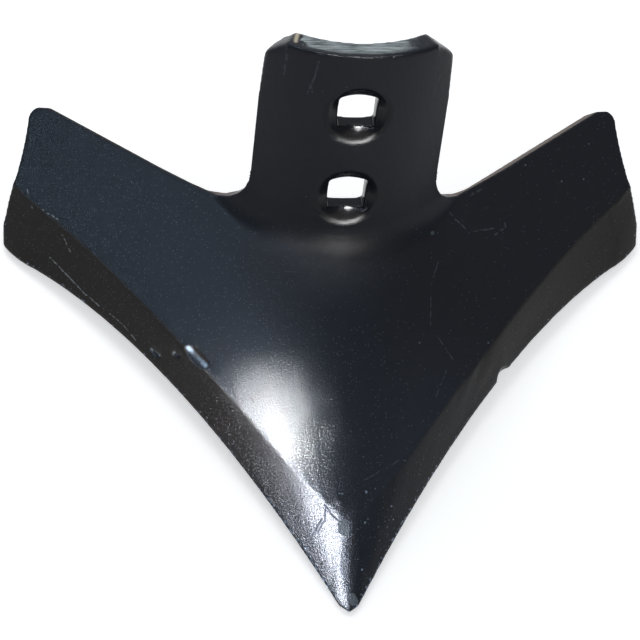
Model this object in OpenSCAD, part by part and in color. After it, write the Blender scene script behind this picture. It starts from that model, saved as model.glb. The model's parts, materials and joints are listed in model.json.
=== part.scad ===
// Cultivator sweep: one pressed steel plate with a crowned nose, two swept wings
// and an arched stem with two square, countersunk bolt holes.
// It sits in its working position, cutting edges down and the point towards -Y.

/* [Wings] */
// Width across the wing corners, before they are rounded
span = 228; // [190:1:280]
// Distance from the point back to the wing corners
setback = 137.5; // [115:0.5:160]
// Rise of each wing face above the ground
lift_angle = 27; // [20:1:32]
// Angle between the centre line and the cutting edge at the point
nose_angle = 29.5; // [26:0.5:34]
// Angle between the centre line and the cutting edge at the wing corner
flare_angle = 59; // [52:0.5:64]
// Run of the wing end from its cutting corner back to its rear corner
wing_end_run = 46.5; // [32:0.5:60]
// Inward lean of the wing end over that run
wing_end_inset = 15; // [5:0.5:25]
// Hollow of the wing end between its corners
wing_end_hollow = 1.5; // [0:0.5:4]
// Angle between the wing's rear edge and a line straight across
rear_angle = 35.5; // [30:0.5:40]
// Half width of the rounded crown for each millimetre back from the point
crown = 0.38; // [0.15:0.01:0.45]

/* [Plate] */
// Thickness of the plate
plate_t = 8; // [5:0.5:10]
// Thickness left at the cutting edge
edge_land = 1.8; // [0.8:0.1:3]
// Width of the ground bevel halfway along the cutting edge
bevel_middle = 10; // [6:0.5:14]
// Width of the ground bevel at the point
bevel_point = 14; // [8:0.5:18]
// Width of the ground bevel at the wing corner
bevel_corner = 17.5; // [8:0.5:22]

/* [Stem] */
// Width across the front of the stem
stem_w = 64; // [52:1:72]
// Length of the stem from the bend to its top
stem_len = 85.5; // [78:0.5:110]
// Rise of the stem above the ground
stem_angle = 68; // [55:1:74]
// Radius of the arched front of the stem
stem_arch_r = 50; // [44:1:90]
// Distance from the point back to the bend
bend_back = 125.5; // [114:0.5:138]
// Depth over which nose and stem run into each other
bend_blend = 12; // [6:0.5:18]
// Width of the chamfer on the stem's top corners
stem_chamfer_w = 6; // [3:0.5:10]
// Height of that chamfer
stem_chamfer_h = 7; // [3:0.5:12]

/* [Bolt holes] */
// Side of each square hole
hole_side = 12.5; // [9:0.5:14]
// Distance between the two holes along the stem
hole_pitch = 35; // [28:0.5:40]
// Distance from the upper hole to the stem's top
hole_to_top = 24.5; // [18:0.5:30]
// Diameter of the countersink on the crest of the stem
sink_d = 23; // [19:0.5:26]
// Angle across the countersink's cone
sink_angle = 115; // [90:5:130]

/* [Corners and wear] */
// Radius at the point
point_r = 3; // [1:0.5:5]
// Radius at each wing's cutting corner
wing_front_r = 7; // [3:0.5:14]
// Radius at each wing's rear corner
wing_rear_r = 5.5; // [2:0.5:9]
// Radius in the notch between stem and wing
notch_r = 14; // [6:0.5:16]
// Distance from the right wing corner to the nick worn in its cutting edge
nick_from_corner = 64; // [40:1:90]
// Depth of that nick
nick_depth = 0.8; // [0.4:0.1:2.5]
// Radius of that nick
nick_r = 5; // [3:0.5:10]

/* [Hidden] */
$fn = 64;

// Grid of the pressed plate: columns run from the centre line outwards, rows from the edge back
stem_cols = 12;
chamfer_cols = 3;
wing_cols = 16;
bevel_rows = 3;
body_rows = 23;
stem_rows = 14;
arc_steps = 6;
edge_steps = 40;
// Share of the cutting edge that the stem's columns reach
edge_share_at_side = 0.34;
// Powers that draw rows together: those of the body towards the bend, those of the stem to the notch
body_crowding = 0.75;
stem_crowding = 1.3;
// Power that keeps the bulge of a rounded side close to that side
end_pull = 6;
cols = stem_cols + chamfer_cols + wing_cols;
side_col = stem_cols + chamfer_cols;
rows = bevel_rows + body_rows;

// Underside of the right wing: z = wing_back * y - wing_down * x, flat from the cutting corners
wing_corner = [span / 2, setback];
chord_angle = atan(wing_corner[0] / wing_corner[1]);
wing_back = sin(chord_angle) * tan(lift_angle);
wing_down = cos(chord_angle) * tan(lift_angle);
rear_corner = wing_corner + [-wing_end_inset, wing_end_run];
// The crest of the crown stays below the ridge in which the two wing planes would meet
crest_slope = wing_back - wing_down * crown / 2;

// Stem, measured on its underside
arch_r = stem_arch_r - plate_t;
side_angle = asin(stem_w / 2 / stem_arch_r);
side_x = arch_r * sin(side_angle);
bend_point = [bend_back, bend_back * crest_slope];
low_hole_at = stem_len - hole_to_top - hole_pitch;
high_hole_at = stem_len - hole_to_top;

// The press works along one direction, halfway between the nose crest and the stem.
// Press coordinates are [x, along, height], with "along" and "height" turned by press_angle.
press_angle = (stem_angle + atan(crest_slope)) / 2;
stem_tilt = stem_angle - press_angle;
function to_press(y, z) = [
    y * cos(press_angle) + z * sin(press_angle),
    z * cos(press_angle) - y * sin(press_angle)
];
function to_ground(p) = [
    p[0],
    p[1] * cos(press_angle) - p[2] * sin(press_angle),
    p[1] * sin(press_angle) + p[2] * cos(press_angle)
];
bend_press = to_press(bend_point[0], bend_point[1]);

// A point of the wing's plan, as [x, along]
function wing_point(p) = [p[0], to_press(p[1], wing_back * p[1] - wing_down * p[0])[0]];

// Distance from the centre line, rounded within the crown
function round_abs(x, half) = abs(x) >= half ? abs(x) : x * x / (2 * half) + half / 2;

// Height of the two wings, joined by the crown
wing_scale = cos(press_angle) + wing_back * sin(press_angle);
wing_fall = (wing_back * cos(press_angle) - sin(press_angle)) / wing_scale;
least_crown = 0.1;
function wing_height(x, along) =
    let (half = max(least_crown, crown * along / cos(press_angle - atan(crest_slope))))
    along * wing_fall - wing_down / wing_scale * round_abs(x, half);

// Drop of the stem's arch away from its crest, carried on past the stem's sides
function arch_drop(x) =
    let (over = max(0, abs(x) - side_x), inside = min(abs(x), side_x))
    arch_r - sqrt(arch_r * arch_r - inside * inside)
    + over * tan(side_angle) + over * over / arch_r;
function stem_height(x, along) =
    bend_press[1] + (along - bend_press[0]) * tan(stem_tilt) - arch_drop(x) / cos(stem_tilt);

// The higher of two heights, with a soft valley where they meet
function soft_max(a, b, soft) =
    let (gap = max(soft - abs(a - b), 0))
    max(a, b) + gap * gap / (4 * soft);
function height(x, along) =
    soft_max(wing_height(x, along), stem_height(x, along), bend_blend);

// Unit normal of the underside, pointing up through the plate
probe = 0.05;
function normal(x, along) =
    let (
        sx = (height(x + probe, along) - height(x - probe, along)) / (2 * probe),
        sy = (height(x, along + probe) - height(x, along - probe)) / (2 * probe),
        n = [-sx, -sy, 1]
    )
    n / norm(n);

// Arc that rounds the corner between two straight runs
function reach(before, corner, after, r) =
    let (
        a = (before - corner) / norm(before - corner),
        b = (after - corner) / norm(after - corner)
    )
    r / tan(acos(a * b) / 2);
function rounded(before, corner, after, r, steps) =
    let (
        a = (before - corner) / norm(before - corner),
        b = (after - corner) / norm(after - corner),
        half = acos(a * b) / 2,
        mid = (a + b) / norm(a + b),
        centre = corner + mid * r / sin(half),
        start = corner + a * r / tan(half) - centre,
        stop = corner + b * r / tan(half) - centre,
        turn = (180 - 2 * half) * sign(start[0] * stop[1] - start[1] * stop[0])
    )
    [for (i = [0 : steps])
        let (t = turn * i / steps)
        centre + [
            start[0] * cos(t) - start[1] * sin(t),
            start[0] * sin(t) + start[1] * cos(t)
        ]];

// Point at a share of a path's length
function lengths(path, i = 0, sum = 0) =
    i >= len(path) - 1 ? [sum]
    : concat([sum], lengths(path, i + 1, sum + norm(path[i + 1] - path[i])));
function on_path(path, share) =
    let (
        run = lengths(path),
        at = share * run[len(run) - 1]
    )
    [for (axis = [0, 1]) lookup(at, [for (i = [0 : len(path) - 1]) [run[i], path[i][axis]]])];

// Plan of the cutting edge: leaves the point at nose_angle, meets the corner at flare_angle
nose_dir = [sin(nose_angle), cos(nose_angle)];
flare_dir = [sin(flare_angle), cos(flare_angle)];
edge_pull = nose_dir * (wing_corner[0] * flare_dir[1] - wing_corner[1] * flare_dir[0])
    / (nose_dir[0] * flare_dir[1] - nose_dir[1] * flare_dir[0]);
function edge_plan(s) = 2 * s * (1 - s) * edge_pull + s * s * wing_corner;

// Corners of the outline in press coordinates
tip_press = [0, 0];
pull_press = wing_point(edge_pull);
front_press = wing_point(wing_corner);
rear_press = wing_point(rear_corner);
rear_dir = wing_point(rear_corner - [cos(rear_angle), sin(rear_angle)]) - rear_press;
notch_press = rear_press + rear_dir * (rear_press[0] - side_x) / abs(rear_dir[0]);
stem_top = bend_press[0] + stem_len * cos(stem_tilt);

// Rounded corners, each shared at its middle by the two sides that meet there
mirror_pull = [-pull_press[0], pull_press[1]];
tip_arc = rounded(mirror_pull, tip_press, pull_press, point_r, 2 * arc_steps);
front_arc = rounded(pull_press, front_press, rear_press, wing_front_r, 2 * arc_steps);
rear_arc = rounded(front_press, rear_press, notch_press, wing_rear_r, 2 * arc_steps);
notch_arc = rounded(rear_press, notch_press, notch_press + [0, 1], notch_r, 2 * arc_steps);
function first_half(arc) = [for (i = [0 : arc_steps]) arc[i]];
function last_half(arc) = [for (i = [arc_steps : 2 * arc_steps]) arc[i]];

// Four sides of the right half
edge_start = reach(mirror_pull, tip_press, pull_press, point_r) / (2 * norm(pull_press));
edge_end = 1 - reach(pull_press, front_press, rear_press, wing_front_r)
    / (2 * norm(front_press - pull_press));
edge_path = concat(
    last_half(tip_arc),
    [for (i = [1 : edge_steps - 1])
        wing_point(edge_plan(edge_start + (edge_end - edge_start) * i / edge_steps))],
    first_half(front_arc)
);
end_low = front_arc[2 * arc_steps];
end_high = rear_arc[0];
end_in = [end_low[1] - end_high[1], end_high[0] - end_low[0]] / norm(end_high - end_low);
end_path = concat(
    last_half(front_arc),
    [for (i = [1 : arc_steps - 1])
        let (t = i / arc_steps)
        end_low + (end_high - end_low) * t + end_in * wing_end_hollow * 4 * t * (1 - t)],
    first_half(rear_arc)
);
rear_path = concat(last_half(rear_arc), first_half(notch_arc));
notch_mid = notch_arc[arc_steps];

// Columns of the stem: even ones to the chamfer, then those that climb it
chamfer_share = (side_x - stem_chamfer_w) / side_x;
function stem_share(i) =
    i <= stem_cols ? chamfer_share * i / stem_cols
    : chamfer_share + (1 - chamfer_share) * (i - stem_cols) / chamfer_cols;

// Lower and upper end of each column
function edge_share(i) =
    i <= side_col ? edge_share_at_side * stem_share(i)
    : edge_share_at_side + (1 - edge_share_at_side) * (i - side_col) / wing_cols;
function low_end(i) = on_path(edge_path, edge_share(i));
function high_end(i) =
    i <= side_col ? [notch_mid[0] * stem_share(i), notch_mid[1]]
    : on_path(rear_path, 1 - (i - side_col) / wing_cols);

// Width of the bevel along the column, from its width square to the edge
function edge_tangent(s) =
    let (t = pull_press * (1 - s) + (front_press - pull_press) * s)
    t / norm(t);
function bevel_width(s) =
    let (t = 2 * s - 1, at_end = t < 0 ? bevel_point : bevel_corner)
    bevel_middle + (at_end - bevel_middle) * t * t;
function bevel_share(i) =
    let (
        run = high_end(i) - low_end(i),
        tangent = edge_tangent(edge_share(i)),
        cross = abs(run[0] * tangent[1] - run[1] * tangent[0]) / norm(run)
    )
    bevel_width(edge_share(i)) / cross / norm(run);

// Body and wing: grid points as [x, along, share of the full thickness]
function row_share(i, j) =
    let (b = bevel_share(i))
    j <= bevel_rows ? b * j / bevel_rows
    : b + (1 - b) * pow((j - bevel_rows) / body_rows, body_crowding);
function straight_point(i, share) = low_end(i) + (high_end(i) - low_end(i)) * share;
function body_point(i, j) =
    let (
        share = row_share(i, j),
        end_share = row_share(cols, j),
        bulge = on_path(end_path, end_share) - straight_point(cols, end_share),
        p = straight_point(i, share) + bulge * pow(i / cols, end_pull)
    )
    [p[0], p[1], min(1, j / bevel_rows)];

// Stem: rows run from the notch to the top edge
function top_along(x) =
    stem_top + arch_drop(x) * sin(stem_tilt)
    - max(0, abs(x) - (side_x - stem_chamfer_w)) * stem_chamfer_h / stem_chamfer_w * cos(stem_tilt);
side_path = concat(last_half(notch_arc), [[side_x, top_along(side_x)]]);
function stem_point(i, j) =
    let (
        share = pow(j / stem_rows, stem_crowding),
        e = stem_share(i),
        low = high_end(i),
        high = [side_x * e, top_along(side_x * e)],
        side_low = high_end(side_col),
        side_high = [side_x, top_along(side_x)],
        bulge = on_path(side_path, share) - (side_low + (side_high - side_low) * share),
        p = low + (high - low) * share + bulge * pow(e, end_pull)
    )
    [p[0], p[1], 1];

// Underside and upper face of one grid point
function under(p) = [p[0], p[1], height(p[0], p[1])];
function upper(p) =
    under(p) + normal(p[0], p[1]) * (edge_land + (plate_t - edge_land) * p[2]);

// Whole grid: columns from the left wing to the right one
function mirrored(p, i) = i < 0 ? [-p[0], p[1], p[2]] : p;
body_grid = [for (i = [-cols : cols]) for (j = [0 : rows]) mirrored(body_point(abs(i), j), i)];
stem_grid = [for (i = [-side_col : side_col]) for (j = [1 : stem_rows])
    mirrored(stem_point(abs(i), j), i)];
grid = concat(body_grid, stem_grid);
under_points = [for (p = grid) to_ground(under(p))];
upper_points = [for (p = grid) to_ground(upper(p))];
all_points = concat(under_points, upper_points);

// Index of a grid point; the stem's rows go on where the body's end
body_count = len(body_grid);
layer = len(grid);
function at(i, j) =
    j <= rows ? (i + cols) * (rows + 1) + j
    : body_count + (i + side_col) * stem_rows + j - rows - 1;

// Two triangles for each cell, and the outline that the edge faces follow
cells = concat(
    [for (i = [-cols : cols - 1]) for (j = [0 : rows - 1]) [i, j]],
    [for (i = [-side_col : side_col - 1]) for (j = [rows : rows + stem_rows - 1]) [i, j]]
);
function upper_cell(c) =
    let (
        a = layer + at(c[0], c[1]),
        b = layer + at(c[0] + 1, c[1]),
        d = layer + at(c[0] + 1, c[1] + 1),
        e = layer + at(c[0], c[1] + 1)
    )
    c[0] < 0 ? [[a, e, b], [b, e, d]] : [[a, e, d], [a, d, b]];
function under_cell(c) =
    [for (t = upper_cell(c)) [t[2] - layer, t[1] - layer, t[0] - layer]];
outline = concat(
    [for (i = [-cols : cols]) at(i, 0)],
    [for (j = [1 : rows]) at(cols, j)],
    [for (i = [cols - 1 : -1 : side_col]) at(i, rows)],
    [for (j = [rows + 1 : rows + stem_rows]) at(side_col, j)],
    [for (i = [side_col - 1 : -1 : -side_col]) at(i, rows + stem_rows)],
    [for (j = [rows + stem_rows - 1 : -1 : rows]) at(-side_col, j)],
    [for (i = [-side_col - 1 : -1 : -cols]) at(i, rows)],
    [for (j = [rows - 1 : -1 : 1]) at(-cols, j)]
);
edge_faces = [for (k = [0 : len(outline) - 1])
    let (
        a = outline[k],
        b = outline[(k + 1) % len(outline)]
    )
    each [[a, layer + a, layer + b], [a, layer + b, b]]];
faces = concat(
    [for (c = cells) each upper_cell(c)],
    [for (c = cells) each under_cell(c)],
    edge_faces
);

// The origin lies under the middle of the part, on the ground
low_y = min([for (p = all_points) p[1]]);
high_y = max([for (p = all_points) p[1]]);
low_z = min([for (p = all_points) p[2]]);
origin_shift = [0, -(low_y + high_y) / 2, -low_z];

// The plate as it leaves the press
module pressed_plate() {
    polyhedron(points = all_points, faces = faces, convexity = 6);
}

// Square hole and countersink, cut square to the stem at a distance from the bend
cut_through = 4 * plate_t;
sink_depth = (sink_d - hole_side) / 2 / tan(sink_angle / 2);
sink_over = 3;
module bolt_hole(along_stem) {
    translate([0, bend_point[0], bend_point[1]])
        rotate([stem_angle, 0, 0])
            translate([0, along_stem, plate_t]) {
                cube([hole_side, hole_side, cut_through], center = true);
                translate([0, 0, -sink_depth])
                    cylinder(
                        h = sink_depth + sink_over,
                        d1 = hole_side,
                        d2 = sink_d + 2 * sink_over * tan(sink_angle / 2)
                    );
            }
}

// Scallop worn into the right cutting edge
module edge_nick() {
    s = 1 - nick_from_corner / (2 * norm(wing_corner - edge_pull));
    p = edge_plan(s);
    away = edge_pull * (1 - s) + (wing_corner - edge_pull) * s;
    out = [away[1], -away[0]] / norm(away);
    centre = p + out * (nick_r - nick_depth);
    translate([centre[0], centre[1], wing_back * p[1] - wing_down * p[0]])
        cylinder(h = cut_through, r = nick_r, center = true);
}

module sweep() {
    color("#20242b")
        translate(origin_shift)
            difference() {
                pressed_plate();
                bolt_hole(low_hole_at);
                bolt_hole(high_hole_at);
                edge_nick();
            }
}

sweep();
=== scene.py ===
# %% [markdown]
# # A cultivator sweep in dipped paint
# A cultivator sweep is the share that a tine drags through the soil. It is one piece of steel plate:
# cut to outline, punched for two bolts, pressed hot into a nose, two wings and a stem, ground to an
# edge and dipped in paint.
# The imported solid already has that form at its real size, so it is loaded first and stays as it is.
# Everything below dresses it: a skin with soft edges and dents, the paint, its marks, the lamps and
# the camera.

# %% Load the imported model
import json
import math

import bmesh
import bpy
from mathutils import Matrix, Vector, kdtree
from mathutils.bvhtree import BVHTree


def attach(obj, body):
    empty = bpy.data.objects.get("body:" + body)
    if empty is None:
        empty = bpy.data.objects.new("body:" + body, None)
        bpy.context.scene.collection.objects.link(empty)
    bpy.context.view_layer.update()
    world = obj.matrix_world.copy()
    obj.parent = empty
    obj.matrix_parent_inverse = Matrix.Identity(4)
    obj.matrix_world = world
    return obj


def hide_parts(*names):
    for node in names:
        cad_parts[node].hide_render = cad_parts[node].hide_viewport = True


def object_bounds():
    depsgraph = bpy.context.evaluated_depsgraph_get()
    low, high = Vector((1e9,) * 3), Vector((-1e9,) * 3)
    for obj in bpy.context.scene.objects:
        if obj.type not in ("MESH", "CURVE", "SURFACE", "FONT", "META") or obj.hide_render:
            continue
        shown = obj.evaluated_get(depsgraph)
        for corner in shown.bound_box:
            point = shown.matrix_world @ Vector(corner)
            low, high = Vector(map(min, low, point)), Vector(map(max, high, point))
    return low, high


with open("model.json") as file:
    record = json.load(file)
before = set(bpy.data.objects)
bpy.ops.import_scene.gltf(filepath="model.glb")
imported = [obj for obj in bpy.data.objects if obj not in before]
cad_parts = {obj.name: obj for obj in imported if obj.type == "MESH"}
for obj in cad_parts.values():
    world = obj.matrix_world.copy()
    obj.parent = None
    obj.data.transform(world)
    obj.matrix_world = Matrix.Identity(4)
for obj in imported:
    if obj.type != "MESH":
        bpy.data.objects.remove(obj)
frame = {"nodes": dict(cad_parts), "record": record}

MM = 0.001
scene = bpy.context.scene
steel = frame["nodes"]["sweep"]
cad_box = [list(corner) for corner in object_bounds()]
print("Loaded the sweep:", len(steel.data.polygons), "triangles in the box", cad_box)

# %% [markdown]
# ## Camera
# The sweep lies on its point and its wing corners, and the camera looks down on it, a little from the
# left. A long lens from about a metre keeps the two wings nearly the same size.
# The turn is built from three plain steps: tip the camera down, swing it round, level the picture.

# %% Camera
VIEW_HEIGHT = 65.0
VIEW_SWING = 8.1
VIEW_ROLL = -0.15
VIEW_DISTANCE = 1012 * MM
VIEW_AIM = Vector((-12.4, -9.4, 60.0)) * MM
PICTURE_PIXELS = 640
PIXELS_PER_MM = 3.068
SENSOR_MM = 36.0

tip_down = Matrix.Rotation(math.radians(90 - VIEW_HEIGHT), 4, "X")
swing_round = Matrix.Rotation(math.radians(-VIEW_SWING), 4, "Y")
level = Matrix.Rotation(math.radians(VIEW_ROLL), 4, "Z")
turn = tip_down @ swing_round @ level

lens = bpy.data.cameras.new("camera")
lens.sensor_width = SENSOR_MM
lens.lens = SENSOR_MM * PIXELS_PER_MM * VIEW_DISTANCE / MM / PICTURE_PIXELS
lens.clip_start = 10 * MM
lens.clip_end = 20
camera = bpy.data.objects.new("camera", lens)
camera.matrix_world = Matrix.Translation(VIEW_AIM + turn @ Vector((0, 0, VIEW_DISTANCE))) @ turn
scene.collection.objects.link(camera)
scene.camera = camera
print("Camera at", [round(x, 3) for x in camera.location], "with a lens of", round(lens.lens, 1), "mm")

# %% [markdown]
# ## A copy of the plate
# The solid's mesh must not be changed, so the skin starts as a copy of it. The solid's triangles are
# loose, and welding them makes the copy one piece that the operators below can follow.

# %% Weld a copy of the plate
WELD = 0.01 * MM

copy = bmesh.new()
copy.from_mesh(steel.data)
bmesh.ops.remove_doubles(copy, verts=copy.verts[:], dist=WELD)
copy.normal_update()
print("Welded copy:", len(copy.verts), "vertices")

# %% [markdown]
# ## Finding the bevel
# The cutting edges are ground to a bevel. Its faces look up and lean forward, which tells them from the
# plate above. The narrow land below them, which looks forward, is the cutting edge itself.

# %% Find the bevel
BEVEL_SLOPE = 0.42
BEVEL_TOP = 30 * MM
BEVEL_UP, PLATE_UP, LAND_UP = 0.2, 0.6, 0.1
LAND_FORWARD = 0.15


def on_bevel(face):
    """Whether a face looks up and leans forward as the ground bevel does."""
    leans = face.normal.z > BEVEL_UP and -face.normal.y > BEVEL_SLOPE * face.normal.z
    return leans and face.calc_center_median().z < BEVEL_TOP


bevel_faces = {face for face in copy.faces if on_bevel(face)}


def on_plate(face):
    """Whether a face is on top of the plate and not on the bevel."""
    return face.normal.z > PLATE_UP and face not in bevel_faces


def on_land(face):
    """Whether a face is on the land below the bevel."""
    return face.normal.z < LAND_UP and -face.normal.y > LAND_FORWARD


bevel_verts = [vert for vert in copy.verts if any(face in bevel_faces for face in vert.link_faces)]
upper_line = [vert for vert in bevel_verts if any(on_plate(face) for face in vert.link_faces)]
cutting_edge = [vert for vert in bevel_verts if any(on_land(face) for face in vert.link_faces)]
print("Bevel:", len(upper_line), "vertices on its upper line,", len(bevel_verts), "in all")

# %% [markdown]
# ## The bevel, ground by hand
# The wheel reached further up the plate than the even bevel of the solid, most of all towards the wing
# corners. Moving the bevel's upper line back along the plate does the same. The rows of vertices between
# that line and the edge follow in proportion, so the bevel stays flat. On the nose the line moves along
# the crest, so that both sides still meet in the middle.

# %% Widen the bevel
NOSE_WIDENING = 2.4 * MM
CORNER_WIDENING = 4.2 * MM
HALF_SPAN = cad_box[1][0]
CREST = Vector((0, 0.97, 0.24))


def tree_of(places):
    """A tree that finds the nearest of some places."""
    tree = kdtree.KDTree(len(places))
    for index, place in enumerate(places):
        tree.insert(place, index)
    tree.balance()
    return tree


line_tree = tree_of([vert.co for vert in upper_line])
edge_tree = tree_of([vert.co for vert in cutting_edge])
shifts = []
for vert in upper_line:
    plate = next(face.normal for face in vert.link_faces if on_plate(face))
    away = vert.co - edge_tree.find(vert.co)[0]
    away = CREST if abs(vert.co.x) < WELD else (away - plate * away.dot(plate)).normalized()
    outward = (abs(vert.co.x) / HALF_SPAN) ** 2
    shifts.append(away * (NOSE_WIDENING + (CORNER_WIDENING - NOSE_WIDENING) * outward))
moved = {}
for vert in bevel_verts:
    _, index, to_line = line_tree.find(vert.co)
    to_cut = edge_tree.find(vert.co)[2]
    moved[vert] = vert.co + shifts[index] * to_cut / (to_cut + to_line)
for vert, place in moved.items():
    vert.co = place
copy.normal_update()
widest = max(shift.length for shift in shifts)
print("The bevel's upper line moved back by up to", round(widest / MM, 1), "mm")

# %% [markdown]
# ## The plate, curved
# The copy is still made of flat facets. It is split along its hard edges, so that each face of the plate
# has normals of its own. A smooth subdivision follows those normals and turns the facets into curves.
# The seams are then welded again.

# %% Curve the facets
SEAM = 0.15 * MM
HARD_EDGE = math.radians(13)

hard = [edge for edge in copy.edges if edge.calc_face_angle(0) > HARD_EDGE]
bmesh.ops.split_edges(copy, edges=hard)
copy.normal_update()
bmesh.ops.subdivide_edges(copy, edges=copy.edges[:], cuts=1, smooth=1.0, use_grid_fill=True)
bmesh.ops.remove_doubles(copy, verts=copy.verts[:], dist=SEAM)
curved_plate = bpy.data.meshes.new("curved_plate")
copy.to_mesh(curved_plate)
copy.free()
print("Curved plate:", len(curved_plate.polygons), "faces,", len(hard), "hard edges kept")

# %% [markdown]
# ## The bolt holes
# Two square holes in round countersinks hold the share to its tine. The record says where they are and
# which way they face. That gives the stem its own directions, and tells the cells below which places are
# in a countersink.

# %% Where the bolt holes are
SINK_RADIUS = 11.5 * MM
SINK_RIM = 0.5 * MM
SINK_DEPTH = 9 * MM

holes = [mount for mount in frame["record"]["mounts"] if mount["name"].endswith("bolt_hole")]
hole_axis = Vector(holes[0]["axis"])
hole_centres = [Vector(hole["pos_m"]) for hole in holes]
stem_up = Vector((0, hole_axis.z, -hole_axis.y))


def around_hole(place):
    """How far a place is from the nearest bolt hole's axis, and how far up the stem from it."""
    offset = min((place - centre for centre in hole_centres), key=lambda offset: offset.length)
    depth = offset.dot(hole_axis)
    if abs(depth) > SINK_DEPTH:
        return math.inf, 0.0
    return (offset - hole_axis * depth).length, offset.dot(stem_up)


print("Bolt holes:", [hole["name"] for hole in holes])

# %% [markdown]
# ## The skin
# Paint fills hard corners, so no edge of a dipped part is a knife line. A bevel on every edge would have
# to be worked out at each corner. A Remesh modifier is simpler: it rebuilds the plate from even cells
# that are finer than the paint's soft edges, and the even cells also give the dents something to bend.

# %% Remesh the plate
SKIN_CELL = 0.5 * MM


def applied(piece):
    """The piece's mesh with its modifiers applied."""
    evaluated = piece.evaluated_get(bpy.context.evaluated_depsgraph_get())
    return bpy.data.meshes.new_from_object(evaluated)


skin = bpy.data.objects.new("painted_sweep", curved_plate)
scene.collection.objects.link(skin)
cells = skin.modifiers.new("cells", "REMESH")
cells.mode = "VOXEL"
cells.voxel_size = SKIN_CELL
even = applied(skin)
skin.modifiers.clear()
surface = bmesh.new()
surface.from_mesh(even)
print("Skin:", len(surface.faces), "cells of", round(SKIN_CELL / MM, 2), "mm")

# %% [markdown]
# ## Soft edges
# A little smoothing rounds all the edges. Paint runs down to the lower side of each countersink and hangs
# on the end of the stem, so the corners there are rounder: they get more smoothing than the rest. So do
# the two cut corners of the stem, where the smoothing is done in six lengths, so that it fades out down
# the stem without a step.

# %% Soften the edges
EDGE_SOFTENING = 4
END_SOFTENING = 14
CORNER_SOFTENING = 10
SINK_SOFTENING = 45
STEM_END = 3.0 * MM
CUT_CORNER_INSIDE = 25 * MM
CUT_CORNER_LENGTHS = [length * MM for length in (24, 20, 17, 14, 12, 10)]
SINK_FLOOR_TOP = -6.8 * MM

end_reach = max(vert.co.dot(stem_up) for vert in surface.verts)
stem_end, sink_floors = [], []
cut_corners = [[] for _ in CUT_CORNER_LENGTHS]
for vert in surface.verts:
    radius, rise = around_hole(vert.co)
    below_end = end_reach - vert.co.dot(stem_up)
    if below_end < STEM_END:
        stem_end.append(vert)
    if abs(vert.co.x) > CUT_CORNER_INSIDE:
        for corner, length in zip(cut_corners, CUT_CORNER_LENGTHS):
            if below_end < length:
                corner.append(vert)
    if radius < SINK_RADIUS + SINK_RIM and rise < SINK_FLOOR_TOP:
        sink_floors.append(vert)

for softened, rounds in (
    (surface.verts[:], EDGE_SOFTENING),
    (stem_end, END_SOFTENING),
    *((corner, CORNER_SOFTENING) for corner in cut_corners),
    (sink_floors, SINK_SOFTENING),
):
    for _ in range(rounds):
        bmesh.ops.smooth_vert(
            surface, verts=softened, factor=0.5, use_axis_x=True, use_axis_y=True, use_axis_z=True
        )
surface.normal_update()
print("Softened more:", len(stem_end), "vertices at the stem's end,", len(sink_floors), "in countersinks")

# %% [markdown]
# ## Places on the skin
# The dents and the marks below are given as places seen from straight above, in millimetres from the
# middle of the part. A ray dropped on each place finds its height on the skin.

# %% A way to drop a place on the skin
ABOVE = 0.3

landing = BVHTree.FromBMesh(surface)


def on_skin(x, y):
    """The point of the skin below a place in mm."""
    return landing.ray_cast(Vector((x * MM, y * MM, ABOVE)), Vector((0, 0, -1)))[0]


print("The crown below the middle is", round(on_skin(0, 0).z / MM, 1), "mm high")

# %% [markdown]
# ## Dents
# A used share has been knocked about. The biggest dent is a lens-shaped gouge on the upper line of the
# left bevel, with two small ones beside it. A bump in the material would not change the outline, so each
# is pressed into the skin as a shallow bowl along the skin's own normals, deepest in the middle.

# %% Press the dents
DENTS = (
    # both ends, half width and depth (mm)
    ((-52.2, 0.6), (-45.0, -7.6), 2.3, 0.9),
    ((-64.0, 4.5), (-59.6, -0.3), 1.5, 0.6),
    ((-56.8, 1.0), (-53.3, -2.2), 1.5, 0.6),
)

pressed = 0
for start, end, half_width, depth in DENTS:
    run = (on_skin(*end) - on_skin(*start)) / 2
    middle = on_skin(*start) + run
    half_length = run.length
    for vert in surface.verts:
        offset = vert.co - middle
        if offset.length > half_length or vert.normal.z < 0:
            continue
        along = offset.dot(run) / half_length ** 2
        across = (offset - run * along).length / (half_width * MM)
        outward = along ** 2 + across ** 2
        if outward < 1:
            vert.co -= vert.normal * depth * MM * (1 - outward)
            pressed += 1
surface.normal_update()
surface.to_mesh(even)
surface.free()
print("Dents:", pressed, "vertices moved")

# %% [markdown]
# ## Thinning the skin
# Even cells waste triangles on the flat wings. A Decimate modifier takes them away where the skin is
# flat and keeps them along the edges and in the dents. The skin then stands in for the solid's node.

# %% Thin out the flat parts
SKIN_TRIANGLES = 180000

skin.data = even
thin = skin.modifiers.new("thin", "DECIMATE")
thin.ratio = SKIN_TRIANGLES / (2 * len(even.polygons))
thinned = applied(skin)
skin.modifiers.clear()
skin.data = thinned
thinned.polygons.foreach_set("use_smooth", [True] * len(thinned.polygons))
thinned.update()
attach(skin, "root")
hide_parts("sweep")
print("Thinned skin:", len(thinned.polygons), "triangles")

# %% [markdown]
# ## Zones: walls and cutting edge
# The paint doesn't look the same all over, so each zone becomes a number per vertex that the material can
# read. The first is the sheared wall round the plate, where the paint is thin: its faces stand square to
# the wing. Its warm brown is a painted reflection of warm surroundings, and it fades out up the stem. The
# part of the wall that looks forward is the cutting edge, and the distance from it says where the paint is
# chipped.

# %% Mark the walls and the cutting edge
WING_NORMAL = Vector((0.349, -0.290, 0.891))
STEM_HALF_WIDTH = 33 * MM
BEND_HEIGHT = 36 * MM
TURNED_AWAY = (0.62, 0.4)
WALL_FADES = (46 * MM, 34 * MM)


def ramp(value, start, end):
    """0 before start, 1 after end, straight between. start may be above end."""
    return min(1.0, max(0.0, (value - start) / (end - start)))


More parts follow.
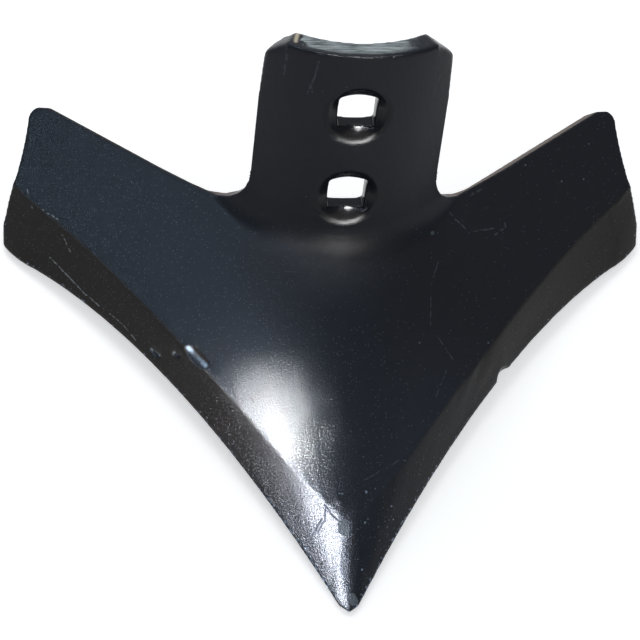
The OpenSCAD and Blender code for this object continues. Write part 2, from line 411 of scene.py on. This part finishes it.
zones = {"wall": []}
land = []
for vert in thinned.vertices:
    place, normal = vert.co, vert.normal
    on_stem = abs(place.x) < STEM_HALF_WIDTH and place.z > BEND_HEIGHT
    wing = Vector((math.copysign(WING_NORMAL.x, place.x), *WING_NORMAL.yz))
    plate = hole_axis if on_stem else wing
    # the wall's value carries the thin paint's dull gloss and the painted warm reflection
    wall = ramp(abs(normal.dot(plate)), *TURNED_AWAY) * ramp(place.z, *WALL_FADES)
    zones["wall"].append(wall)
    if wall > 0.5 and not on_stem and normal.y < 0:
        land.append(place)
land_tree = tree_of(land)
zones["to_edge"] = [land_tree.find(vert.co)[2] / MM for vert in thinned.vertices]
print("Cutting edge:", len(land), "vertices")

# %% [markdown]
# ## Zones: bevels and countersinks
# Soil rubs the bevels brown, all along the left one and less and less towards the nose on the right. The
# slope of the skin tells where they are. In the countersinks the paint pooled, thick and wet.

# %% Mark the bevels and the countersinks
BEVEL_BLEND = 0.04
LEAST_UP = 0.05
RUBBED_LEFT = (-60 * MM, -25 * MM)
RUBBED_RIGHT = (-70 * MM, 20 * MM)

zones["bevel"], zones["pool"] = [], []
for vert in thinned.vertices:
    place, normal = vert.co, vert.normal
    steep = -normal.y / max(normal.z, LEAST_UP)
    leans = ramp(steep, BEVEL_SLOPE - BEVEL_BLEND, BEVEL_SLOPE + BEVEL_BLEND) * (normal.z > 0)
    rubbed = ramp(place.y, *(RUBBED_LEFT if place.x < 0 else RUBBED_RIGHT))
    zones["bevel"].append(rubbed * leans * (place.z < BEVEL_TOP))
    zones["pool"].append(ramp(around_hole(place)[0], SINK_RADIUS + SINK_RIM, SINK_RADIUS))
print("Bevels:", sum(value > 0.5 for value in zones["bevel"]), "vertices")

# %% [markdown]
# ## Zones: the end of the stem
# The paint is missing on the end of the stem, apart from a lip along its front. The lip is measured from
# the stem's front face. All the zones are then written to the skin as attributes.

# %% Mark the stem's end and write the zones
END_FACING = (0.8, 0.95)
END_DEPTH = 1.2 * MM
FRONT_FACING = 0.8
PAINTED_LIP = (1.2 * MM, 2.2 * MM)

end_reach = max(vert.co.dot(stem_up) for vert in thinned.vertices)
front_tree = tree_of([
    vert.co for vert in thinned.vertices
    if vert.normal.dot(hole_axis) > FRONT_FACING and vert.co.dot(stem_up) > end_reach - STEM_END
])
zones["end"] = []
for vert in thinned.vertices:
    on_top = ramp(vert.normal.dot(stem_up), *END_FACING)
    cut_face = on_top * (vert.co.dot(stem_up) > end_reach - END_DEPTH)
    zones["end"].append(cut_face and cut_face * ramp(front_tree.find(vert.co)[2], *PAINTED_LIP))

for name, values in zones.items():
    thinned.attributes.new(name, "FLOAT", "POINT").data.foreach_set("value", values)
print("Zones written:", ", ".join(zones))

# %% [markdown]
# ## Two helpers for the materials
# Colours are written as the sRGB hex values that a colour picker shows, and Blender's shaders want them
# linear. Nodes are added by one function, which takes settings by name and links by socket.

# %% Colour and node helpers
def linear(hex_colour):
    """An sRGB hex colour as linear red, green, blue and alpha."""
    parts = [int(hex_colour[i:i + 2], 16) / 255 for i in (1, 3, 5)]
    return tuple(p / 12.92 if p <= 0.04045 else ((p + 0.055) / 1.055) ** 2.4 for p in parts) + (1.0,)


def add(tree, kind, links=None, **settings):
    """Adds a node, sets its properties or inputs, and links its inputs to other nodes' outputs."""
    node = tree.nodes.new(kind)
    for name, value in settings.items():
        if hasattr(node, name):
            setattr(node, name, value)
        else:
            node.inputs[name.replace("_", " ")].default_value = value
    for socket, source in (links or {}).items():
        tree.links.new(source, node.inputs[socket])
    return node


print("Middle grey, #808080, is", round(linear("#808080")[0], 3), "in linear light")

# %% [markdown]
# ## One stroke
# Scratches, cracks and blotches are all lines or spots in known places. The distance from a point of the
# skin to a short straight line is a few vector sums, so one node group works it out for any line, and
# a mark is a chain of such lines.

# %% A node group that draws one stroke
stroke = bpy.data.node_groups.new("stroke", "ShaderNodeTree")
for name, kind in (("Point", "Vector"), ("Start", "Vector"), ("Run", "Vector"), ("Half Width", "Float")):
    stroke.interface.new_socket(name, in_out="INPUT", socket_type="NodeSocket" + kind)
stroke.interface.new_socket("Mask", in_out="OUTPUT", socket_type="NodeSocketFloat")
given = add(stroke, "NodeGroupInput").outputs
from_start = add(
    stroke, "ShaderNodeVectorMath", {0: given["Point"], 1: given["Start"]}, operation="SUBTRACT"
).outputs["Vector"]
along_run = add(stroke, "ShaderNodeVectorMath", {0: from_start, 1: given["Run"]}, operation="DOT_PRODUCT")
run_square = add(
    stroke, "ShaderNodeVectorMath", {0: given["Run"], 1: given["Run"]}, operation="DOT_PRODUCT"
)
share_of_run = add(
    stroke, "ShaderNodeMath", {0: along_run.outputs["Value"], 1: run_square.outputs["Value"]},
    operation="DIVIDE", use_clamp=True,
)
foot = add(
    stroke, "ShaderNodeVectorMath", {0: given["Run"], "Scale": share_of_run.outputs[0]}, operation="SCALE"
)
apart = add(
    stroke, "ShaderNodeVectorMath", {0: from_start, 1: foot.outputs["Vector"]}, operation="DISTANCE"
)
mask = add(
    stroke, "ShaderNodeMapRange",
    {"Value": apart.outputs["Value"], "From Max": given["Half Width"]},
    interpolation_type="SMOOTHSTEP", From_Min=0.0, To_Min=1.0, To_Max=0.0,
)
add(stroke, "NodeGroupOutput", {"Mask": mask.outputs["Result"]})
print("Stroke group:", len(stroke.nodes), "nodes")

# %% [markdown]
# ## Dipped paint
# Dipping leaves a thick blue-black coat that dries with orange peel: a fine pebbled grain that breaks
# every highlight into sparks. The grain is about a quarter of a millimetre across, and here it is drawn
# nearly twice as coarse, so that it shows in a picture with three pixels to the millimetre. A slow swell
# under it makes the reflections uneven. Old paint mirrors less than clean plastic does, so its specular
# level is low.

# %% Start the paint with its grain
GRAIN = 0.46 * MM
SWELL = 5.0 * MM
OLD_PAINT_SPECULAR = 0.14

paint = bpy.data.materials.new("blue_black_dipped_paint")
paint.use_nodes = True
tree = paint.node_tree
coat = tree.nodes["Principled BSDF"]
coat.inputs["Specular IOR Level"].default_value = OLD_PAINT_SPECULAR
point = add(tree, "ShaderNodeTexCoord").outputs["Object"]
grain = add(tree, "ShaderNodeTexNoise", {"Vector": point}, Scale=1 / GRAIN, Detail=2.0, Roughness=0.6)
swell = add(tree, "ShaderNodeTexNoise", {"Vector": point}, Scale=1 / SWELL, Detail=1.0)
print("Grain of", round(GRAIN / MM, 2), "mm on a swell of", round(SWELL / MM, 2), "mm")

# %% [markdown]
# ## Where the marks are
# Use and storage left pale scratches, soft smears, gouges down to the steel, dark cracks in the thick
# paint on the nose, dull blotches, dots of dust and one cream stroke of old paint. Each mark is a half
# width and the places it runs through.

# %% List the marks
MARKS = {
    # half width of each mark, then the places it runs through (mm)
    "scratch": (
        (0.34, (-99.0, 52.9), (-94.0, 48.8)),
        (0.34, (-92.6, 43.9), (-89.8, 38.4)),
        (0.30, (-104.1, 60.4), (-102.3, 53.5)),
        (0.36, (-97.2, 39.4), (-85.2, 25.6), (-79.2, 19.5)),
        (0.36, (-76.6, 17.3), (-72.0, 12.6), (-68.1, 7.3)),
    ),
    "smear": (
        (0.55, (-14.6, 59.5), (-15.4, 57.1), (-17.2, 54.7)),
        (0.40, (-16.3, 56.0), (-15.6, 54.6)),
        (0.70, (-24.6, 62.9), (-24.9, 60.1)),
        (0.40, (27.2, 61.7), (25.4, 57.7)),
        (0.45, (39.2, 41.8), (45.6, 36.4)),
        (0.45, (47.2, 37.1), (54.9, 39.4)),
        (0.45, (55.4, 37.5), (59.6, 40.7), (59.1, 42.0)),
        (0.60, (46.6, 49.1), (52.0, 52.6)),
        (0.30, (34.2, 25.5), (31.2, 17.5), (30.5, 4.1)),
        (0.30, (32.7, 0.7), (38.6, -6.4)),
        (0.30, (36.5, -9.1), (31.6, -19.5), (33.8, -25.3)),
        (0.32, (5.6, -48.8), (18.1, -41.4)),
    ),
    "gouge": (
        (1.5, (-51.3, -0.3), (-48.6, -3.5), (-45.9, -6.6)),
        (0.8, (-63.1, 3.5), (-60.6, 0.8)),
        (0.7, (-55.8, -0.1), (-54.4, -1.2)),
    ),
    "crack": (
        (0.62, (-8.0, -56.6), (-5.2, -60.4), (-3.2, -62.1)),
        (0.62, (-9.0, -60.4), (-12.3, -65.6)),
        (0.62, (-7.7, -57.0), (-8.1, -61.2), (-10.2, -64.0)),
        (0.30, (48.8, 6.0), (52.6, 8.7), (56.3, 12.0)),
    ),
    "blotch": (
        (3.1, (-2.1, -63.4), (-1.9, -64.9)),
        (1.1, (32.1, 34.6), (32.3, 34.7)),
        (2.4, (0.6, -85.0), (1.6, -86.4)),
    ),
    "dot": tuple((0.45, place, place) for place in (
        (92.7, 74.5), (81.6, 59.8), (90.3, 62.1), (67.8, 62.9), (26.3, -2.4), (51.7, 1.2),
    )),
    "cream": ((1.1, (-22.0, 66.0), (-20.9, 70.0)),),
}
print("Marks:", {kind: len(lines) for kind, lines in MARKS.items()})

# %% [markdown]
# ## Drawing the marks
# A ruled line would look drawn, so a little noise on the point makes each line waver. Each kind gathers
# its strokes by keeping the strongest mask.

# %% Draw the marks
WAVER = 0.35 * MM
WAVE_LENGTH = 2.5 * MM

waver = add(tree, "ShaderNodeTexNoise", {"Vector": point}, Scale=1 / WAVE_LENGTH, Detail=2.0)
centred = add(tree, "ShaderNodeVectorMath", {0: waver.outputs["Color"]}, operation="SUBTRACT")
centred.inputs[1].default_value = (0.5, 0.5, 0.5)
shifted = add(
    tree, "ShaderNodeVectorMath", {0: centred.outputs["Vector"], 2: point}, operation="MULTIPLY_ADD"
)
shifted.inputs[1].default_value = (2 * WAVER, 2 * WAVER, 2 * WAVER)

marks = {}
strokes = 0
for kind, lines in MARKS.items():
    for half_width, *places in lines:
        for start, end in zip(places, places[1:]):
            drawn = add(tree, "ShaderNodeGroup", node_tree=stroke)
            tree.links.new(shifted.outputs["Vector"], drawn.inputs["Point"])
            drawn.inputs["Start"].default_value = on_skin(*start)
            drawn.inputs["Run"].default_value = on_skin(*end) - on_skin(*start)
            drawn.inputs["Half Width"].default_value = half_width * MM
            latest = drawn.outputs["Mask"]
            if kind in marks:
                latest = add(
                    tree, "ShaderNodeMath", {0: marks[kind], 1: latest}, operation="MAXIMUM"
                ).outputs[0]
            marks[kind] = latest
            strokes += 1
print("Strokes drawn:", strokes)

# %% [markdown]
# ## Broken scratches, firm blotches
# A scratch made by a stone isn't one even line: it skips. Scratches and smears are multiplied with a
# coarse noise that cuts gaps into them. A blotch is a blister of paint with a firm rim, so its mask is
# made steeper.

# %% Break the scratches, firm up the blotches
SKIP_LENGTH = 1.6 * MM

skips = add(tree, "ShaderNodeTexNoise", {"Vector": point}, Scale=1 / SKIP_LENGTH, Detail=2.0)
kept = add(tree, "ShaderNodeMapRange", {"Value": skips.outputs["Fac"]}, From_Min=0.40, From_Max=0.56)
for kind in ("scratch", "smear"):
    marks[kind] = add(
        tree, "ShaderNodeMath", {0: marks[kind], 1: kept.outputs["Result"]}, operation="MULTIPLY"
    ).outputs[0]
marks["blotch"] = add(
    tree, "ShaderNodeMapRange", {"Value": marks["blotch"]}, From_Min=0.30, From_Max=0.45
).outputs["Result"]
print("Scratches skip about every", round(SKIP_LENGTH / MM, 1), "mm")

# %% [markdown]
# ## Specks of painted glint
# The light specks are painted glints: the sparkle of the sheen on the grain, drawn as colour. So there are
# many on the left wing and the nose, where the sheen lies, few on the right, and none above the bend. Each
# cell of a Voronoi texture holds one speck, and the cell's own random colour says whether it shows.

# %% Scatter the specks
SPECK_SPACING = 0.9 * MM
SPECK_RADIUS = 0.22  # of the spacing
SPECK_CORE = 0.6  # of the radius
SHOWN_LEFT, SHOWN_RIGHT = 0.70, 0.14

specks = add(tree, "ShaderNodeTexVoronoi", {"Vector": point}, Scale=1 / SPECK_SPACING)
round_speck = add(
    tree, "ShaderNodeMapRange", {"Value": specks.outputs["Distance"]},
    From_Min=SPECK_RADIUS * SPECK_CORE, From_Max=SPECK_RADIUS, To_Min=1.0, To_Max=0.0,
)
chance = add(tree, "ShaderNodeSeparateColor", {0: specks.outputs["Color"]})
position = add(tree, "ShaderNodeSeparateXYZ", {0: point}).outputs
share_shown = add(
    tree, "ShaderNodeMapRange", {"Value": position["X"]},
    From_Min=-30 * MM, From_Max=30 * MM, To_Min=SHOWN_LEFT, To_Max=SHOWN_RIGHT,
)
below_bend = add(
    tree, "ShaderNodeMapRange", {"Value": position["Z"]},
    From_Min=30 * MM, From_Max=45 * MM, To_Min=1.0, To_Max=0.0,
)
share_here = add(
    tree, "ShaderNodeMath", {0: share_shown.outputs["Result"], 1: below_bend.outputs["Result"]},
    operation="MULTIPLY",
)
shown = add(
    tree, "ShaderNodeMath", {0: chance.outputs[0], 1: share_here.outputs[0]}, operation="LESS_THAN"
)
# the speck mask: painted glints of the sheen
glint_speck = add(
    tree, "ShaderNodeMath", {0: round_speck.outputs["Result"], 1: shown.outputs[0]}, operation="MULTIPLY"
).outputs[0]
print("Specks every", round(SPECK_SPACING / MM, 1), "mm")

# %% [markdown]
# ## Chips and painted glints
# Stones chip the paint along the cutting edge, and most at the nose. The chips are drawn pale bluish white,
# a painted glint for the light that the chipped edge catches. A chip is wherever a noise is above a limit,
# and the limit is lower near the edge and towards the nose.

# %% Chip the edge
CHIP_SIZE = 1.1 * MM
CHIP_REACH = 2.4  # mm from the edge
LIMIT_AT_EDGE, LIMIT_BEYOND, NOSE_LOWERS = 0.58, 0.80, 0.10

zone = {name: add(tree, "ShaderNodeAttribute", attribute_name=name).outputs["Fac"] for name in zones}
chip_noise = add(tree, "ShaderNodeTexNoise", {"Vector": point}, Scale=1 / CHIP_SIZE, Detail=2.0)
near_edge = add(
    tree, "ShaderNodeMapRange", {"Value": zone["to_edge"]},
    From_Min=0.0, From_Max=CHIP_REACH, To_Min=LIMIT_AT_EDGE, To_Max=LIMIT_BEYOND,
)
towards_nose = add(
    tree, "ShaderNodeMapRange", {"Value": position["Y"]},
    From_Min=-20 * MM, From_Max=-60 * MM, To_Min=0.0, To_Max=NOSE_LOWERS,
)
chip_limit = add(
    tree, "ShaderNodeMath", {0: near_edge.outputs["Result"], 1: towards_nose.outputs["Result"]},
    operation="SUBTRACT",
)
# real chips, drawn pale as a painted glint of light caught on the edge
chip_glint = add(
    tree, "ShaderNodeMath", {0: chip_noise.outputs["Fac"], 1: chip_limit.outputs[0]},
    operation="GREATER_THAN",
).outputs[0]
print("Chips of about", round(CHIP_SIZE / MM, 1), "mm within", CHIP_REACH, "mm of the edge")

# %% [markdown]
# ## Colour of the paint
# The layers go on in order: blue-black paint, browner where it is rubbed on the bevels, a painted warm
# reflection on the walls, darker in the pools, pale chips along the cutting edge that are partly painted
# glints, specks that are painted glints of the sheen, and the marks on top. Each layer is one Mix node
# with its mask.

# %% Mix the colours
PAINT = "#1a1e26"
LAYERS = (
    # mask, colour, strength
    (zone["bevel"], "#35312e", 0.9),
    # painted reflection: warm brown on the walls for the warm surroundings they mirror
    (zone["wall"], "#54443a", 0.9),
    (zone["pool"], "#12151b", 0.8),
    (marks["blotch"], "#49535a", 0.85),
    (marks["smear"], "#6a747c", 0.3),
    # painted glints: the chips' pale bluish white stands for light caught on the chipped edge
    (chip_glint, "#98a6ba", 0.75),
    # painted glints of the sheen, drawn as pale specks
    (glint_speck, "#6d7a86", 0.5),
    (marks["dot"], "#7f8b97", 0.8),
    (marks["crack"], "#0a0c12", 0.9),
    (marks["scratch"], "#a9b0b4", 0.65),
    (marks["cream"], "#c9bda6", 0.9),
)

colour = None
for layer_mask, tone, strength in LAYERS:
    weakened = add(tree, "ShaderNodeMath", {0: layer_mask}, operation="MULTIPLY")
    weakened.inputs[1].default_value = strength
    layer = add(tree, "ShaderNodeMix", {"Factor": weakened.outputs[0]}, data_type="RGBA")
    if colour is None:
        layer.inputs[6].default_value = linear(PAINT)
    else:
        tree.links.new(colour, layer.inputs[6])
    layer.inputs[7].default_value = linear(tone)
    colour = layer.outputs[2]
print("Paint layers:", len(LAYERS))

# %% [markdown]
# ## Where the steel is bare
# The stem's end was sheared after the plate was rolled, and the paint has come off its middle. The same
# noise that makes the marks waver frays both ends of the bare patch. The gouges are bare too. Bare steel
# is metal, so the mask also drives Metallic.

# %% Bare the steel
FRAYING = 6 * MM
BARE_FROM = (-17.4 * MM, -16.6 * MM)
BARE_TO = (16.4 * MM, 21.4 * MM)

frayed = add(
    tree, "ShaderNodeMath", {0: waver.outputs["Fac"], 2: position["X"]}, operation="MULTIPLY_ADD"
)
frayed.inputs[1].default_value = FRAYING
past_left = add(
    tree, "ShaderNodeMapRange", {"Value": frayed.outputs[0]}, From_Min=BARE_FROM[0], From_Max=BARE_FROM[1]
)
before_right = add(
    tree, "ShaderNodeMapRange", {"Value": frayed.outputs[0]},
    From_Min=BARE_TO[0], From_Max=BARE_TO[1], To_Min=1.0, To_Max=0.0,
)
between = add(
    tree, "ShaderNodeMath", {0: past_left.outputs["Result"], 1: before_right.outputs["Result"]},
    operation="MULTIPLY",
)
bare_end = add(tree, "ShaderNodeMath", {0: between.outputs[0], 1: zone["end"]}, operation="MULTIPLY")
bare = add(
    tree, "ShaderNodeMath", {0: bare_end.outputs[0], 1: marks["gouge"]}, operation="MAXIMUM"
).outputs[0]
tree.links.new(bare, coat.inputs["Metallic"])
print("The bare patch is about", round((BARE_TO[0] - BARE_FROM[1]) / MM), "mm long")

# %% [markdown]
# ## Sheared steel
# The blade of the shear left fine streaks along the end, so its tone is a noise stretched along X. The
# gouges are fresher and brighter.

# %% Streak the bare steel
STREAK_LENGTH, STREAK_WIDTH = 6 * MM, 0.7 * MM

stretched = add(tree, "ShaderNodeMapping", {"Vector": point})
stretched.inputs["Scale"].default_value = (1 / STREAK_LENGTH, 1 / STREAK_WIDTH, 1 / STREAK_WIDTH)
streaks = add(tree, "ShaderNodeTexNoise", {"Vector": stretched.outputs["Vector"]}, Scale=1.0, Detail=3.0)
contrast = add(
    tree, "ShaderNodeMapRange", {"Value": streaks.outputs["Fac"]}, From_Min=0.30, From_Max=0.72
)
sheared = add(tree, "ShaderNodeMix", {"Factor": contrast.outputs["Result"]}, data_type="RGBA")
sheared.inputs[6].default_value = linear("#343a3e")
sheared.inputs[7].default_value = linear("#8d9597")
steel_tone = add(
    tree, "ShaderNodeMix", {"Factor": marks["gouge"], 6: sheared.outputs[2]}, data_type="RGBA"
)
steel_tone.inputs[7].default_value = linear("#a5b4c4")
finish = add(
    tree, "ShaderNodeMix", {"Factor": bare, 6: colour, 7: steel_tone.outputs[2]}, data_type="RGBA"
)
tree.links.new(finish.outputs[2], coat.inputs["Base Color"])
print("Streaks of", round(STREAK_LENGTH / MM, 1), "by", round(STREAK_WIDTH / MM, 1), "mm")

# %% [markdown]
# ## Gloss
# Roughness says how sharp a reflection is. The coat is glossy, wetter where it pooled in the
# countersinks, and dull where it is thin, blistered, cracked, scratched or gone.

# %% Roughness
COAT_ROUGHNESS = 0.2
GLOSS_LAYERS = (
    # mask, roughness
    (zone["wall"], 0.5),
    (zone["pool"], 0.13),
    (marks["blotch"], 0.8),
    (marks["crack"], 0.75),
    (marks["scratch"], 0.6),
    (marks["smear"], 0.5),
    (bare, 0.42),
)

rough = None
for layer_mask, roughness in GLOSS_LAYERS:
    layer = add(tree, "ShaderNodeMix", {"Factor": layer_mask}, data_type="FLOAT")
    if rough is None:
        layer.inputs[2].default_value = COAT_ROUGHNESS
    else:
        tree.links.new(rough, layer.inputs[2])
    layer.inputs[3].default_value = roughness
    rough = layer.outputs[0]
tree.links.new(rough, coat.inputs["Roughness"])
print("Gloss layers:", len(GLOSS_LAYERS))

# %% [markdown]
# ## Relief
# The relief is a bump of grain on a bump of swell, and the grain all but drowns in the pools. Both are
# far too fine to model, and they only have to bend reflections, which is what a bump does.

# %% Bump
SWELL_HEIGHT = 0.08 * MM
GRAIN_HEIGHT = 0.16 * MM
GRAIN_IN_POOLS = 0.25

swelled = add(tree, "ShaderNodeBump", {"Height": swell.outputs["Fac"]}, Strength=0.6, Distance=SWELL_HEIGHT)
dry = add(tree, "ShaderNodeMapRange", {"Value": zone["pool"]}, To_Min=1.0, To_Max=GRAIN_IN_POOLS)
peeled = add(
    tree, "ShaderNodeBump",
    {
        "Height": grain.outputs["Fac"],
        "Normal": swelled.outputs["Normal"],
        "Strength": dry.outputs["Result"],
    },
    Distance=GRAIN_HEIGHT,
)
tree.links.new(peeled.outputs["Normal"], coat.inputs["Normal"])
thinned.materials.clear()
thinned.materials.append(paint)
print("Paint nodes:", len(tree.nodes))

# %% [markdown]
# ## Floor
# The floor is a plain pale board, large enough to fill the view from any side. It lies a little below
# the sweep, so that the two never share a face.

# %% Floor
FLOOR_HALF = 2.5
FLOOR_DROP = 0.2 * MM

ground = bmesh.new()
bmesh.ops.create_grid(ground, x_segments=1, y_segments=1, size=FLOOR_HALF)
bmesh.ops.translate(ground, verts=ground.verts[:], vec=(0, 0, -FLOOR_DROP))
floor_mesh = bpy.data.meshes.new("floor")
ground.to_mesh(floor_mesh)
ground.free()
floor = bpy.data.objects.new("floor", floor_mesh)
scene.collection.objects.link(floor)
print("Floor:", 2 * FLOOR_HALF, "m across")

# %% [markdown]
# ## White board
# The board is matt chalk white, so it shows no highlight of its own. To the camera and to reflections it
# glows a little, so that it is white behind the sweep, and the light that falls on it still draws the
# sweep's soft shadow. The world round it is a dim cool grey.

# %% Board and world
FLOOR_GLOW = 0.5
WORLD_LEVEL = 0.6

chalk = bpy.data.materials.new("matt_chalk_white_board")
chalk.use_nodes = True
tree = chalk.node_tree
board = tree.nodes["Principled BSDF"]
board.inputs["Base Color"].default_value = linear("#f4f4f3")
board.inputs["Roughness"].default_value = 1.0
board.inputs["Specular IOR Level"].default_value = 0.0
board.inputs["Emission Color"].default_value = linear("#ffffff")
rays = add(tree, "ShaderNodeLightPath").outputs
seen = add(
    tree, "ShaderNodeMath", {0: rays["Is Camera Ray"], 1: rays["Is Glossy Ray"]}, operation="MAXIMUM"
)
seen_through = add(
    tree, "ShaderNodeMath", {0: seen.outputs[0], 1: rays["Is Transmission Ray"]}, operation="MAXIMUM"
)
glow = add(tree, "ShaderNodeMath", {0: seen_through.outputs[0]}, operation="MULTIPLY")
glow.inputs[1].default_value = FLOOR_GLOW
tree.links.new(glow.outputs[0], board.inputs["Emission Strength"])
floor_mesh.materials.append(chalk)

world = bpy.data.worlds.new("studio")
scene.world = world
world.use_nodes = True
sky = world.node_tree.nodes["Background"]
sky.inputs["Color"].default_value = linear("#ccd2d8")
sky.inputs["Strength"].default_value = WORLD_LEVEL
print("The board glows at", FLOOR_GLOW, "and the world at", WORLD_LEVEL)

# %% [markdown]
# ## One lamp
# A lamp here is a round area light that stands off the place it lights. What a glossy surface shows of it
# is its radiance, so that is what each lamp is given, and the energy follows from its size. A grid in
# front of a lamp gathers its light towards its axis, so the energy is divided by what that gains.

# %% A way to set a lamp
def lamp(name, target, toward, distance, size, radiance, colour, spread, gloss_only=True):
    """Sets a lamp at a distance (m) from a target (mm). spread is its grid's opening in degrees."""
    aim = Vector(target) * MM
    half = math.radians(spread) / 2
    grid_gain = math.tan(half) / (math.tan(half) - half)
    data = bpy.data.lights.new(name, "AREA")
    data.shape = "DISK"
    data.size = size
    data.energy = radiance * math.pi * (math.pi * size * size / 4) / grid_gain
    data.color = linear(colour)[:3]
    data.spread = math.radians(spread)
    light = bpy.data.objects.new(name, data)
    light.location = aim + Vector(toward).normalized() * distance
    light.rotation_mode = "QUATERNION"
    light.rotation_quaternion = (aim - light.location).to_track_quat("-Z", "Y")
    light.visible_camera = False
    light.visible_diffuse = not gloss_only
    scene.collection.objects.link(light)
    print("Lamp", name, [round(x, 3) for x in light.location], round(data.energy, 3), "W")


WHITE, COOL, PALE_BLUE, WARM = "#ffffff", "#c6e2ff", "#d4e4ff", "#fff0e2"
OPEN = 180
lamp("key", (0, 0, 30), (-0.15, 0.75, 0.75), 1.4, 1.0, 3.6, WHITE, OPEN, gloss_only=False)

# %% [markdown]
# ## Lamps for the gloss
# Black gloss shows hardly anything of its own: what the eye sees is the lamps in it. So each lamp stands
# where the surface mirrors it to the camera: a dim one overhead, a cool window over the left wing, a
# small near lamp for the hot spot with a wider one for its halo, one for the facet beside the nose and
# one for its tip, weak ones for the bend, the right wing and the nose's right flank, one for the edge of
# the stem and a big one behind for its end. The small ones are gridded, so that they reach only their
# own target. All of them count only as reflections, so that the floor keeps the key lamp's one soft
# shadow.

# %% Lamps
LAMPS = (
    # name, target (mm), direction, distance (m), size (m), radiance, colour, grid (degrees)
    ("overhead", (0, 0, 30), (0.15, -0.08, 0.98), 0.9, 0.5, 1.05, COOL, OPEN),
    ("window", (-70, 45, 25), (-0.567, -0.124, 0.814), 0.9, 0.22, 25, COOL, OPEN),
    ("hot_spot", (-23, -30, 20), (-0.465, -0.163, 0.87), 0.12, 0.012, 7000, WHITE, 24),
    ("halo", (-19, -26, 20), (-0.33, -0.13, 0.935), 0.14, 0.06, 9, PALE_BLUE, 80),
    ("nose", (-8, -64, 11), (-0.615, -0.47, 0.63), 0.15, 0.095, 430, "#f1f5ff", 42),
    ("tip", (-2, -79, 7), (-0.22, -0.50, 0.84), 0.12, 0.05, 80, PALE_BLUE, 30),
    ("front", (0, 20, 40), (0.1, -0.78, 0.62), 0.9, 0.8, 1.2, WARM, OPEN),
    ("low_front", (0, 20, 40), (0.14, -0.96, 0.22), 0.9, 0.9, 1.1, WARM, OPEN),
    ("side", (32, -5, 22), (0.712, -0.057, 0.70), 0.5, 0.3, 3.2, "#ffcf9c", 24),
    ("flank", (12, -50, 15), (0.75, -0.2, 0.63), 0.15, 0.1, 5, "#94d0ff", 30),
    ("stem_edge", (0, 60, 112), (0.05, -0.3, 0.95), 0.15, 0.04, 250, WHITE, 34),
    ("back", (0, 56, 112), (0.12, 0.94, 0.28), 0.9, 0.6, 0.35, WHITE, OPEN),
)

for settings in LAMPS:
    lamp(*settings)

# %% [markdown]
# ## Lamps for the countersinks
# The pooled paint in each countersink shows a bright spot on its floor and a bright arc along its lower
# rim, so each gets two small lamps of its own.
# The Standard view transform then shows every colour about as it is written.

# %% Countersink lamps
SINK_FLOOR_OUT = 2 * MM
SINK_FLOOR_BELOW = 8 * MM
SINK_RIM_OUT = 4 * MM

for hole, centre in zip(holes, hole_centres):
    sink_floor = (centre + hole_axis * SINK_FLOOR_OUT - stem_up * SINK_FLOOR_BELOW) / MM
    sink_rim = (centre + hole_axis * SINK_RIM_OUT - stem_up * SINK_RADIUS) / MM
    lamp(hole["name"], sink_floor, (0, -0.45, 0.89), 0.045, 0.012, 220, WHITE, 30)
    lamp(hole["name"] + "_rim", sink_rim, (0.085, -0.91, 0.40), 0.06, 0.02, 60, WHITE, 30)

scene.view_settings.view_transform = "Standard"
